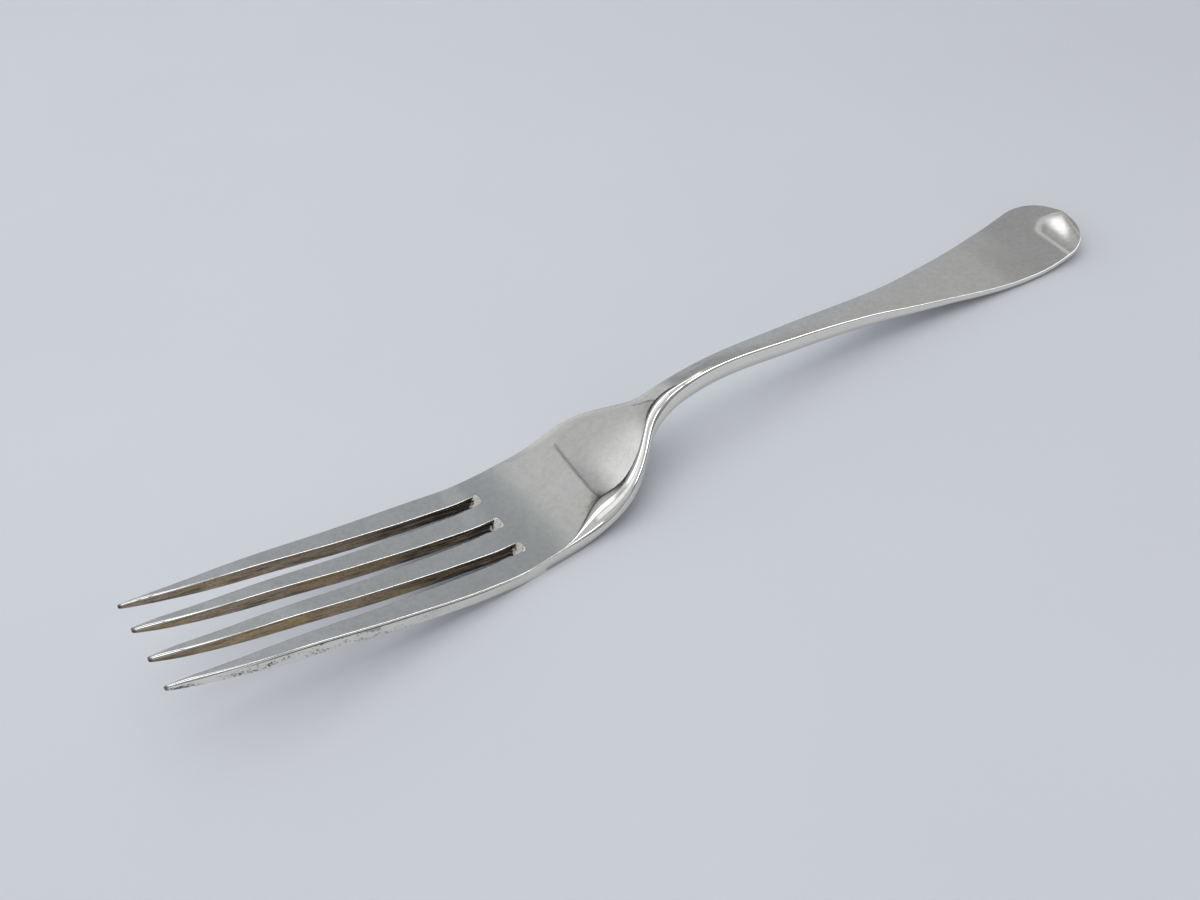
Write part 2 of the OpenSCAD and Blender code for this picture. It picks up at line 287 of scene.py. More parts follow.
def smooth_curve(at, values, x):
    """Cubic pieces through the given values that never overshoot them.

    The slope at a place is the harmonic mean of the slopes on its two sides, or zero where they
    differ in sign, and both ends run on straight."""
    step = np.diff(at)
    rise = np.diff(values) / step
    before, after = rise[:-1], rise[1:]
    same = before * after > 0
    inner = np.where(same, 2 * before * after / np.where(same, before + after, 1), 0)
    slope = np.concatenate((rise[:1], inner, rise[-1:]))
    i = np.clip(np.searchsorted(at, x) - 1, 0, len(step) - 1)
    way = (x - at[i]) / step[i]
    s = np.clip(way, 0, 1)
    r = 1 - s
    curve = (
        values[i] * (1 + 2 * s) * r * r + values[i + 1] * (1 + 2 * r) * s * s
        + step[i] * s * r * (slope[i] * r - slope[i + 1] * s))
    return curve + step[i] * np.where(way < 0, way * slope[i], (way - s) * slope[i + 1])


class Profile:
    """Half-width, underside, thickness and edges of the fork along its length.

    Each column is a smooth curve through its stations, averaged with a bell curve so that
    reflections run on without a kink."""

    def __init__(self, sizes, edges):
        stretches = (
            (TIP_X, SLOT_X, TINE_AT_SHARES), (PALM_X, NECK_X, PALM_AT_SHARES),
            (NECK_X, STEM_X, NECK_AT_SHARES), (STEM_X, HANDLE_X, STEM_AT_SHARES),
            (HANDLE_X, END_X, HANDLE_AT_SHARES))
        at = np.concatenate([mix(start, stop, shares) for start, stop, shares in stretches])
        tines, *_, handle = (np.zeros(len(shares)) for _, _, shares in stretches)
        neck_half, stem_half = sizes.neck_width / 2, sizes.stem_width / 2
        blade_half = sizes.blade_width / 2
        columns = {
            "half": (
                mix(sizes.tip_spread / 2, HEAD_HALF, TINE_WIDTH_SHARES),
                mix(neck_half, HEAD_HALF, PALM_WIDTH_SHARES),
                mix(neck_half, stem_half, NECK_WIDTH_SHARES),
                mix(stem_half, blade_half, STEM_WIDTH_SHARES),
                mix(blade_half, HANDLE_HALF, HANDLE_WIDTH_SHARES)),
            "low": (
                mix(0, sizes.tip_rise, TINE_RISE_SHARES),
                mix(0, sizes.neck_rise, PALM_RISE_SHARES),
                mix(sizes.neck_rise, sizes.stem_rise, NECK_RISE_SHARES),
                mix(sizes.blade_rise, sizes.stem_rise, STEM_RISE_SHARES),
                mix(0, sizes.blade_rise, BLADE_RISE_SHARES)
                + mix(0, sizes.end_rise, END_RISE_SHARES)),
            "thick": (
                mix(sizes.tip_thickness, sizes.root_thickness, TINE_THICK_SHARES),
                mix(sizes.root_thickness, sizes.heel_thickness, PALM_THICK_SHARES),
                mix(sizes.neck_thickness, sizes.stem_thickness, NECK_THICK_SHARES),
                mix(sizes.stem_thickness, sizes.blade_thickness, STEM_THICK_SHARES),
                mix(sizes.blade_thickness, sizes.end_thickness, HANDLE_THICK_SHARES)),
            "crown": (
                tines, mix(0, edges.heel_crown, PALM_CROWN_SHARES),
                mix(0, edges.heel_crown, NECK_CROWN_SHARES),
                mix(0, edges.crown, STEM_CROWN_SHARES), mix(0, edges.crown, HANDLE_CROWN_SHARES)),
        }
        for size, rim_shares in (("width", PALM_RIM_WIDTH_SHARES), ("height", PALM_RIM_HEIGHT_SHARES)):
            rim, heel, over, under = (
                getattr(edges, f"{place}_{size}") for place in ("rim", "heel", "neck", "under"))
            columns[f"edge_{size}"] = (
                tines + edges.root, mix(edges.root, rim, rim_shares),
                mix(over, edges.stem, NECK_EDGE_SHARES), mix(edges.stem, edges.end, STEM_EDGE_SHARES),
                handle + edges.end)
            columns[f"under_{size}"] = (
                tines + edges.tine, mix(edges.tine, heel, PALM_EDGE_SHARES),
                mix(heel, edges.stem_under, NECK_EDGE_SHARES),
                mix(edges.stem_under, under, STEM_EDGE_SHARES), handle + under)
        spread = BELL_REACH * edges.blend
        count = 1 + int((END_X - TIP_X + 2 * spread) * PROFILE_PER_METRE)
        self.x = np.linspace(TIP_X - spread, END_X + spread, count)
        reach = int(spread / (self.x[1] - self.x[0]))
        bell = np.exp(-0.5 * (np.arange(-reach, reach + 1) * BELL_REACH / reach) ** 2)
        bell /= bell.sum()
        self.columns = {}
        for name, parts in columns.items():
            curve = smooth_curve(at, np.concatenate(parts), self.x)
            padded = np.pad(curve, reach, mode="reflect", reflect_type="odd")
            self.columns[name] = np.convolve(padded, bell, mode="valid")
        self.sizes = sizes
        self.edges = edges

    def at(self, name, x):
        """One column at the places x."""
        return np.interp(x, self.x, self.columns[name])

    def heights(self, x):
        """Underside and upper side, drawn together by a quarter circle at the handle's tip."""
        radius = self.edges.end
        way = np.clip((x - END_X + radius) / radius, 0, 1)
        inset = radius * (1 - np.sqrt(1 - way * way))
        low = self.at("low", x)
        return low + inset, low + self.at("thick", x) - inset

    def half_width(self, x):
        """Half-width, closed at the handle's tip by a quarter of an ellipse."""
        flat = self.sizes.end_flat / 2 / HANDLE_HALF
        way = np.clip((x - END_X + self.sizes.end_round) / self.sizes.end_round, 0, 1)
        return self.at("half", x) * np.sqrt(1 - way * way * (1 - flat * flat))


def ring(left, right, low, top, left_edge, right_edge, under, crown, points):
    """Closed cross sections, one row for each place along the fork.

    They have quarter ellipses of the given widths and heights at their corners, and straight walls
    whose sides are given at their top and bottom. The top swells by crown times (1 - t^2), from t = 0
    in the middle to 1 at the edges, and the upper ellipses stop at the slope of the crown's edge.
    Gives the y and z of every point, and its stretch: 0 lower right, 1 right wall, 2 upper right,
    3 top, 4 upper left, 5 left wall, 6 lower left and 7 bottom."""
    corner, wall, across, base = points
    part = np.linspace(0, 1, corner, endpoint=False)
    up, over, along = (np.linspace(0, 1, n, endpoint=False) for n in (wall, across, base))
    swing, rest = np.sin(part * math.pi / 2), 1 - np.cos(part * math.pi / 2)
    under_width, under_height = under
    (left, left_low), (right, right_low) = left, right
    steepness = 4 * crown / (right - left - left_edge[0] - right_edge[0])
    arcs = []
    for side, inward, (width, height) in ((left, 1, left_edge), (right, -1, right_edge)):
        stop = np.arctan2(height, width * steepness)
        turn = np.append(part, 1) * stop
        rise = height * (np.sin(turn) - np.sin(stop))
        arcs.append((side + inward * width * (1 - np.cos(turn)), top - crown + rise))
    (left_y, left_z), (right_y, right_z) = arcs
    t = 2 * over - 1
    stretches = (
        (right_low - under_width * (1 - swing), low + under_height * rest),
        (mix(right_low, right, up), mix(low + under_height, right_z[:, :1], up)),
        (right_y[:, :-1], right_z[:, :-1]),
        (mix(right_y[:, -1:], left_y[:, -1:], over), top - crown * t * t),
        (left_y[:, :0:-1], left_z[:, :0:-1]),
        (mix(left, left_low, up), mix(left_z[:, :1], low + under_height, up)),
        (left_low + under_width * rest, low + under_height * (1 - swing)),
        (mix(left_low + under_width, right_low - under_width, along), low * np.ones_like(along)))
    y = np.concatenate([side for side, _ in stretches], axis=1)
    z = np.concatenate([side for _, side in stretches], axis=1)
    stretch = np.repeat(np.arange(8), [side.shape[1] for side, _ in stretches])
    return y, z, stretch


def add_object(name, data):
    """A new object in the scene."""
    thing = bpy.data.objects.new(name, data)
    bpy.context.scene.collection.objects.link(thing)
    return thing


def skin(name, grid, marks, material):
    """A closed mesh over a grid of points: rows are cross sections, columns run round them.

    The first and last rows only steer the normals, which are the cross product of the two
    directions of the grid, so that the pieces meet without a visible seam. Both ends are closed
    by quads between opposite points."""
    around = np.roll(grid, -1, axis=1) - np.roll(grid, 1, axis=1)
    normals = np.cross(around, np.gradient(grid, axis=0))[1:-1]
    normals /= np.linalg.norm(normals, axis=2, keepdims=True)
    grid = grid[1:-1]
    rows, count = grid.shape[:2]
    index = np.arange(rows * count).reshape(rows, count)
    beside = np.roll(index, -1, axis=1)
    walls = np.stack((index[:-1], beside[:-1], beside[1:], index[1:]), axis=2).reshape(-1, 4)
    near = np.arange(count // 2 - 1)
    far = count - 1 - near
    cap = np.stack((near, far, far - 1, near + 1), axis=1)
    first, last = cap + index[0, 0], cap[:, ::-1] + index[-1, 0]
    faces = np.concatenate((walls, first, last))
    mesh = bpy.data.meshes.new(name)
    mesh.from_pydata(grid.reshape(-1, 3), [], faces)
    loop_normals = normals.reshape(-1, 3)[faces.ravel()]
    loop_normals[walls.size:walls.size + first.size] = (-1, 0, 0)
    loop_normals[walls.size + first.size:] = (1, 0, 0)
    mesh.polygons.foreach_set("use_smooth", np.ones(len(faces), bool))
    mesh.normals_split_custom_set(loop_normals)
    for mark, values in marks.items():
        layer = mesh.attributes.new(mark, "FLOAT", "POINT")
        layer.data.foreach_set("value", np.ascontiguousarray(values[1:-1], np.float32).ravel())
    mesh.materials.append(material)
    return add_object(name, mesh)


def seat(piece, node):
    """Puts a finished piece in the place of its CAD node."""
    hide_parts(node)
    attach(piece, BODY)


def stations(start, stop):
    """Even places from start to stop, with one more beyond each end."""
    count = 1 + math.ceil((stop - start) * RINGS_PER_METRE)
    step = (stop - start) / (count - 1)
    return np.linspace(start - step, stop + step, count + 2)


def upright(*columns):
    """Columns of numbers along the fork, turned so that sections run across it."""
    return tuple(column[:, None] for column in columns)


def broad_grid(profile, x):
    """Points over the full width of the fork, alike on both sides, and their marks."""
    low, top = profile.heights(x)
    half = profile.half_width(x)
    crown = np.minimum(profile.at("crown", x), (top - low) * CROWN_LIMIT_SHARE)
    wall = top - low - crown
    edge = upright(
        np.minimum(profile.at("edge_width", x), half * ROLL_LIMIT_SHARE),
        np.minimum(profile.at("edge_height", x), wall * EDGE_LIMIT_SHARE))
    under = upright(
        np.minimum(profile.at("under_width", x), half * (1 - EDGE_LIMIT_SHARE)),
        np.minimum(profile.at("under_height", x), wall * (1 - EDGE_LIMIT_SHARE)))
    left, right, low, top, crown = upright(-half, half, low, top, crown)
    walls = (left, left), (right, right)
    y, z, stretch = ring(*walls, low, top, edge, edge, under, crown, BROAD_POINTS)
    grid = np.stack((np.broadcast_to(x[:, None], y.shape), y, z), axis=2)
    # Marks for painted shade: the sides, and their lower part, which is painted darker towards the foot
    side = np.isin(stretch, (0, 1, 5, 6)) * np.ones_like(z)
    under = np.clip(1 - (z - low) / (top - low) / PAINTED_SHADE_SHARE, 0, 1)
    return grid, {"side": side, "under": side * under}


class ForkOperator:
    """What the operators of the pieces share"""
    bl_options = {"REGISTER"}

    def profile(self, context):
        """The fork's profile from the scene's own sizes."""
        return Profile(context.scene.fork_sizes, context.scene.fork_edges)

    def broad_piece(self, context, node, x):
        """A piece over the full width of the fork."""
        grid, marks = broad_grid(self.profile(context), x)
        seat(skin(f"silver_{node}", grid, marks, silver(context, "satin_silver")), node)
        return {"FINISHED"}


class FORK_OT_tines(ForkOperator, bpy.types.Operator):
    """Four tapering tines with bullet tips, parted by round-ended slots"""
    bl_idname = "fork.tines"
    bl_label = "Tines"

    # For each tine: sign of its side, whether it is an outer one, lift of its tip in metres and
    # share of its thickness there
    TINES = (
        (1, True, -0.0001, 0.85), (1, False, 0.0003, 0.88),
        (-1, False, 0.0, 0.96), (-1, True, -0.0003, 1.0))
    # Rows at the tip, round the slot's end and on the land behind it, and reach of the row beyond
    TIP_RINGS = 24
    END_RINGS = 40
    LAND_RINGS = 9
    OVERRUN = 0.0002

    def stations(self, sizes):
        """Places that crowd together at the tip and round the slot's end."""
        reach = sizes.slot_root_width / 2 + sizes.slot_slope
        tip = TIP_X + sizes.tip_length * np.linspace(0, 1, self.TIP_RINGS) ** 2
        shaft = stations(tip[-1], SLOT_X - reach)[2:-2]
        end = SLOT_X - reach * (1 - np.sin(np.linspace(0, math.pi / 2, self.END_RINGS)))
        land = mix(SLOT_X, PALM_X, np.linspace(0, 1, self.LAND_RINGS)[1:])
        before, beyond = [2 * tip[0] - tip[1]], [PALM_X + self.OVERRUN]
        return np.concatenate((before, tip, shaft, end, land, beyond))

    def grid(self, profile, side, outer, lift, tip_share):
        """Points over one tine and its marks.

        Its two walls follow the slots and the outline, and a slot's end slopes down towards the
        tips. Towards the tip both width and thickness shrink with a quarter circle about the
        middle of the tine."""
        sizes, edges = profile.sizes, profile.edges
        x = self.stations(sizes)
        inside = np.maximum(x, TIP_X)
        way = (inside - TIP_X) / (SLOT_X - TIP_X)
        reach = sizes.slot_root_width / 2
        slot_half = mix(sizes.slot_tip_width, sizes.slot_root_width, way) / 2
        closing = np.clip((x - SLOT_X + reach + np.outer((0, 1), [sizes.slot_slope])) / reach, 0, 1)
        slot_half = slot_half * (1 - closing ** SLOT_END_POWER) ** (1 / SLOT_END_POWER)
        root_half = profile.half_width(np.array([SLOT_X]))[0]
        slot_middle = mix(sizes.tip_spread / 2 * SLOT_TIP_SHARE, root_half * SLOT_ROOT_SHARE, way)
        low, top = profile.heights(inside)
        low, top = low + lift * (1 - way) ** 2, top + lift * (1 - way) ** 2
        if outer:
            left, right = slot_middle + slot_half, profile.half_width(inside) + np.zeros((2, 1))
        else:
            left, right = slot_half, slot_middle - slot_half
        tip = np.clip((inside - TIP_X) / sizes.tip_length, 0, 1)
        narrow = mix(TIP_SHARE, 1, np.sqrt(1 - (1 - tip) ** 2))
        grown = np.clip(way / TIP_REACH_SHARE, 0, 1)
        thin = narrow * mix(tip_share, 1, np.sqrt(grown))
        middle, height = (left + right) / 2, (low + top) / 2
        left, right = (middle + (wall - middle) * narrow for wall in (left, right))
        low, top = (height + (face - height) * thin for face in (low, top))
        most = EDGE_LIMIT_SHARE * np.minimum(right[0] - left[0], top - low)
        plain = mix(edges.tip, edges.tine, grown)
        slot_edge = mix(edges.seam, plain, np.clip((SLOT_X - x) / sizes.slot_root_width, 0, 1))
        slot_edge = np.minimum(slot_edge, most)
        free_edge = np.minimum(plain, most) if outer else slot_edge
        low, top, crown = upright(low, top, np.zeros_like(x))
        walls = upright(*left), upright(*right)
        slot_edge, free_edge = (upright(edge, edge) for edge in (slot_edge, free_edge))
        y, z, stretch = ring(*walls, low, top, slot_edge, free_edge, slot_edge, crown, TINE_POINTS)
        grid = np.stack((np.broadcast_to(x[:, None], y.shape), y * side, z), axis=2)
        slot_sides, slot_edges = ((4, 5, 6), (4, 5)) if outer else ((0, 1, 2, 4, 5, 6), (1, 2, 4, 5))
        up = (z - low) / (top - low)
        stained = up < 1 - RUBBED_SHARE * slot_edge[1] / (top - low)
        ending, foot = upright(*(closing * (x < SLOT_X)))
        marks = {
            "slot_wall": np.isin(stretch, slot_sides) * stained.astype(float),
            "slot_end": np.isin(stretch, slot_edges) * mix(foot, ending, up),
            "outer_wall": (outer & (stretch < 2)) * np.ones_like(up),
            "along": way[:, None] * np.ones_like(up),
            "up": up,
        }
        if side < 0:
            grid = grid[:, ::-1]
            marks = {mark: values[:, ::-1] for mark, values in marks.items()}
        return grid, marks

    def execute(self, context):
        profile = self.profile(context)
        material = silver(context, "tine_silver", tines=True)
        for number, tine in enumerate(self.TINES, 1):
            grid, marks = self.grid(profile, *tine)
            seat(skin(f"silver_tine_{number}", grid, marks, material), f"tine_{number}")
        return {"FINISHED"}


class FORK_OT_palm(ForkOperator, bpy.types.Operator):
    """Flat palm that climbs to a heel, with rolled shoulders that draw in to the neck"""
    bl_idname = "fork.palm"
    bl_label = "Palm"

    def execute(self, context):
        return self.broad_piece(context, "palm", stations(PALM_X, NECK_X))


class FORK_OT_neck(ForkOperator, bpy.types.Operator):
    """Neck that climbs from the palm to the stem"""
    bl_idname = "fork.neck"
    bl_label = "Neck"

    def execute(self, context):
        return self.broad_piece(context, "neck", stations(NECK_X, STEM_X))


class FORK_OT_stem(ForkOperator, bpy.types.Operator):
    """Slim stem that widens towards the handle"""
    bl_idname = "fork.stem"
    bl_label = "Stem"

    def execute(self, context):
        return self.broad_piece(context, "stem", stations(STEM_X, HANDLE_X))


class FORK_OT_handle_end(ForkOperator, bpy.types.Operator):
    """Broad, rounded and slightly upturned end of the handle"""
    bl_idname = "fork.handle_end"
    bl_label = "Handle end"

    # Cross sections over the rounded tip
    TIP_RINGS = 64

    def execute(self, context):
        start = END_X - context.scene.fork_sizes.end_round
        tip = END_X - (END_X - start) * (1 - np.linspace(0, 1, self.TIP_RINGS)) ** 2
        x = np.concatenate((stations(HANDLE_X, start)[:-2], tip, [END_X]))
        return self.broad_piece(context, "handle_end", x)


class Ramp(NamedTuple):
    """A smooth change from first to last while a value goes from start to stop"""
    start: float
    stop: float
    first: float = 0.0
    last: float = 1.0


class Pattern(NamedTuple):
    """Noise: its repeats, alike or along each axis, its levels of detail, the share that each keeps
    of the one before it, the ramp it is put through, and its turn in radians"""
    repeats: float | tuple
    detail: float
    keep: float = 0.5
    shape: Ramp | None = None
    turn: float = 0.0


# Patterns over all of the silver, in repeats to a millimetre
MILLIMETRES = (1000, 1000, 1000)
CLOUDS = Pattern(0.16, 4, 0.6, Ramp(0.35, 0.65))
GRAIN = Pattern(2.2, 5, 0.65)
MOTTLE = Pattern(0.9, 7, 0.75, Ramp(0.38, 0.66, 0, 0.55))
LONG_SCRATCHES = Pattern((0.12, 7, 7), 3, turn=0.05)
CROSS_SCRATCHES = Pattern((6, 0.15, 6), 3, turn=0.5)
PITS = Pattern(3.4, 4, 0.7, Ramp(0.36, 0.42))
RAGS = Pattern(1.5, 4, 0.6)

# Patterns over the faces of a tine, in repeats to its length, a millimetre across and its height
STREAKS = Pattern((12, 0.3, 9), 6, 0.75)
PATCHES = Pattern((12, 0.3, 2), 3)
FINE_LINES = Pattern((140, 0.3, 10), 4, 0.7, Ramp(0.48, 0.66, 0, 0.6))
GILT = Pattern((4, 0.25, 1), 2, shape=Ramp(0.5, 0.64))
SPECKS = Pattern((160, 0.3, 7), 6, 0.75)
CROWDS = Pattern((16, 0.3, 2), 2)

# How scratches dull the silver, and how grain turns its gloss to satin
SCRATCHED = Ramp(0.28, 0.4, 0, 0.2)
SATINED = Ramp(0.3, 0.75)
# Height of the grain beside that of the scratches, and the height of both in metres
GRAIN_SHARE = 0.5
RELIEF_HEIGHT = 0.0002
# Share of that height on the broad pieces, and on a tine from its faces to its slot ends
BROAD_RELIEF = 0.01
TINE_RELIEF = Ramp(0.3, 0.9, 0.001, 0.6)

# Tarnish in the slots: deeper at their ends, at the tips and low down, with streaks about a level
END_TARNISH = Ramp(0.5, 0.97, 0, 0.85)
TIP_TARNISH = Ramp(0, 0.3, 0.3, 0)
LOW_TARNISH = Ramp(0, 0.5, 0.25, 0)
STREAK_GAIN = 5
STREAK_LEVEL = 0.59
STAINED = Ramp(0.3, 0.9)
TARNISH_ROUGHNESS = 0.3

# Dried polish in the slot ends, with a ragged border and more of it towards the top
RAG_SHARE = 0.8
TOP_SHARE = 0.5
COVERED = Ramp(1.05, 1.2)

# Outer faces: a painted dark line (painted shade) under the upper edge, specks that thin out from the
# tip, and the tip's stain
PAINTED_LINE_UP = Ramp(0.76, 0.8)
PAINTED_LINE_ALONG = Ramp(0.8, 1, 0.85, 0)
CROWD_SHARE = 0.6
SPECKLED = Ramp(0.82, 0.92)
SPECKS_ALONG = Ramp(0.25, 0.8, 0.9, 0.1)
TIP_STAIN = Ramp(0.004, 0.012, 0.8, 0)


class Nodes:
    """Short calls that fill a node tree"""

    def __init__(self, tree):
        self.tree = tree
        tree.nodes.clear()

    def add(self, kind, inputs=None, **settings):
        """A node with its settings, each input fed by a socket or a plain value."""
        node = self.tree.nodes.new(kind)
        for name, value in settings.items():
            setattr(node, name, value)
        for key, value in (inputs or {}).items():
            self.feed(node.inputs[key], value)
        return node

    def feed(self, socket, value):
        """Links a socket, or sets a plain value, a colour with full alpha."""
        if isinstance(value, bpy.types.NodeSocket):
            self.tree.links.new(value, socket)
        elif socket.type == "RGBA":
            socket.default_value = (*value, 1.0)
        else:
            socket.default_value = value

    def math(self, operation, *values, clamp=False):
        """The result of one sum."""
        inputs = dict(enumerate(values))
        return self.add("ShaderNodeMath", inputs, operation=operation, use_clamp=clamp).outputs[0]

    def product(self, first, *others):
        """All the values multiplied."""
        for value in others:
            first = self.math("MULTIPLY", first, value)
        return first

    def dot(self, vector, direction):
        """How far a vector reaches in a direction."""
        inputs = {0: vector, 1: direction}
        return self.add("ShaderNodeVectorMath", inputs, operation="DOT_PRODUCT").outputs["Value"]

    def axes(self, vector):
        """The three numbers of a vector."""
        return self.add("ShaderNodeSeparateXYZ", {0: vector}).outputs

    def ramp(self, value, shape):
        """A ramp over a value."""
        inputs = dict(enumerate((value, *shape)))
        return self.add("ShaderNodeMapRange", inputs, interpolation_type="SMOOTHSTEP").outputs[0]

    def blend(self, way, a, b):
        """A colour between a and b."""
        inputs = {0: way, 6: a, 7: b}
        return self.add("ShaderNodeMix", inputs, data_type="RGBA").outputs[2]

    def noise(self, vector, pattern):
        """Soft noise, with its middle at one half where the pattern has no ramp."""
        inputs = {0: vector, 2: (0, 0, pattern.turn), 3: np.broadcast_to(pattern.repeats, 3)}
        vector = self.add("ShaderNodeMapping", inputs).outputs[0]
        inputs = {"Vector": vector, "Scale": 1.0, "Detail": pattern.detail, "Roughness": pattern.keep}
        noise = self.add("ShaderNodeTexNoise", inputs).outputs[0]
        return self.ramp(noise, pattern.shape) if pattern.shape else noise

    def place(self):
        """Object coordinates."""
        return self.add("ShaderNodeTexCoord").outputs["Object"]

    def mark(self, name):
        """A mark that the piece carries on its points."""
        return self.add("ShaderNodeAttribute", attribute_name=name).outputs["Fac"]

    def surface(self, shader):
        """Ends the tree of a material."""
        self.add("ShaderNodeOutputMaterial", {"Surface": shader.outputs[0]})


def new_material(name):
    """An empty material, and the nodes to fill it with."""
    material = bpy.data.materials.new(name)
    material.use_nodes = True
    return material, Nodes(material.node_tree)


def worn(nodes, place, finish):
    """Colour, roughness and height of table silver with clouds, mottling and scratches."""
    cloud = nodes.noise(place, CLOUDS)
    grain = nodes.noise(place, GRAIN)
    scratch = nodes.product(nodes.noise(place, LONG_SCRATCHES), nodes.noise(place, CROSS_SCRATCHES))
    dulled = nodes.math("MAXIMUM", nodes.noise(place, MOTTLE), nodes.ramp(scratch, SCRATCHED))
    tint = nodes.blend(cloud, finish.cool, finish.warm)
    tint = nodes.blend(dulled, tint, finish.dull)
    satin = nodes.product(nodes.ramp(grain, SATINED), cloud)
    roughness = nodes.ramp(satin, Ramp(0, 1, finish.gloss, finish.satin))
    height = nodes.math("MULTIPLY_ADD", grain, GRAIN_SHARE, scratch)
    return tint, roughness, height


def tarnish(nodes, face, along, up, finish):
    """Colour of the slots' faces, from brown and gold to nearly black."""
    depth = nodes.noise(face, STREAKS)
    depth = nodes.math("MULTIPLY_ADD", depth, STREAK_GAIN, -STREAK_GAIN * STREAK_LEVEL)
    for more in (
            nodes.noise(face, PATCHES), nodes.ramp(along, END_TARNISH),
            nodes.ramp(along, TIP_TARNISH), nodes.ramp(up, LOW_TARNISH)):
        depth = nodes.math("ADD", depth, more)
    depth = nodes.math("MAXIMUM", depth, nodes.noise(face, FINE_LINES), clamp=True)
    stain = nodes.blend(nodes.noise(face, GILT), finish.brown, finish.gold)
    return nodes.blend(depth, stain, finish.dark)


def used_tine(nodes, place, finish, tint, roughness):
    """Colour, roughness, share of bare metal and relief of a tine.

    Its slots are tarnished, with dried polish in their ends. A painted dark line under the upper edge
    (painted shade) and specks are outside."""
    wall, end, outer, along, up = (
        nodes.mark(name) for name in ("slot_wall", "slot_end", "outer_wall", "along", "up"))
    face = {0: along, 1: nodes.axes(place)[1], 2: up}
    face = nodes.add("ShaderNodeCombineXYZ", face).outputs[0]
    residue = nodes.blend(nodes.noise(place, PITS), finish.brown, finish.residue)
    cover = nodes.math("MULTIPLY_ADD", nodes.noise(place, RAGS), RAG_SHARE, end)
    cover = nodes.ramp(nodes.math("MULTIPLY_ADD", up, TOP_SHARE, cover), COVERED)
    # Painted shade: a dark line along the outer faces just under their upper edge
    painted_line = nodes.product(nodes.ramp(up, PAINTED_LINE_UP), nodes.ramp(along, PAINTED_LINE_ALONG), outer)
    speck = nodes.noise(face, SPECKS)
    speck = nodes.math("MULTIPLY_ADD", nodes.noise(face, CROWDS), CROWD_SHARE, speck)
    speck = nodes.product(nodes.ramp(speck, SPECKLED), nodes.ramp(along, SPECKS_ALONG), outer)
    speck = nodes.math("MAXIMUM", speck, nodes.ramp(along, TIP_STAIN))
    # The outer faces take the side tint, a painted shade, and the painted dark line under their edge
    layers = (
        (outer, finish.side), (painted_line, finish.dark),
        (nodes.ramp(wall, STAINED), tarnish(nodes, face, along, up, finish)),
        (cover, residue), (speck, finish.dark))
    for way, layer in layers:
        tint = nodes.blend(way, tint, layer)
    roughness = nodes.math("MULTIPLY_ADD", wall, TARNISH_ROUGHNESS, roughness)
    return tint, roughness, nodes.math("SUBTRACT", 1.0, cover), nodes.ramp(end, TINE_RELIEF)


def silver(context, name, tines=False):
    """Worn table silver for the tines or for the broad pieces, whose sides carry painted shade: warmer
    and darker, and darker still downwards.
    """
    if name in bpy.data.materials:
        return bpy.data.materials[name]
    finish = context.scene.fork_finish
    material, nodes = new_material(name)
    place = nodes.add("ShaderNodeMapping", {0: nodes.place(), 3: MILLIMETRES}).outputs[0]
    tint, roughness, height = worn(nodes, place, finish)
    if tines:
        tint, roughness, metal, relief = used_tine(nodes, place, finish, tint, roughness)
    else:
        # Painted shade: the sides are painted warmer and darker, and darker still towards their foot
        tint = nodes.blend(nodes.mark("side"), tint, finish.side)
        tint = nodes.blend(nodes.mark("under"), tint, finish.shadow)
        metal, relief = 1.0, BROAD_RELIEF
    bump = nodes.add(
        "ShaderNodeBump", {"Height": height, "Strength": relief, "Distance": RELIEF_HEIGHT})
    nodes.surface(nodes.add("ShaderNodeBsdfPrincipled", {
        "Base Color": tint, "Metallic": metal, "Roughness": roughness, "Normal": bump.outputs[0]}))
    return material


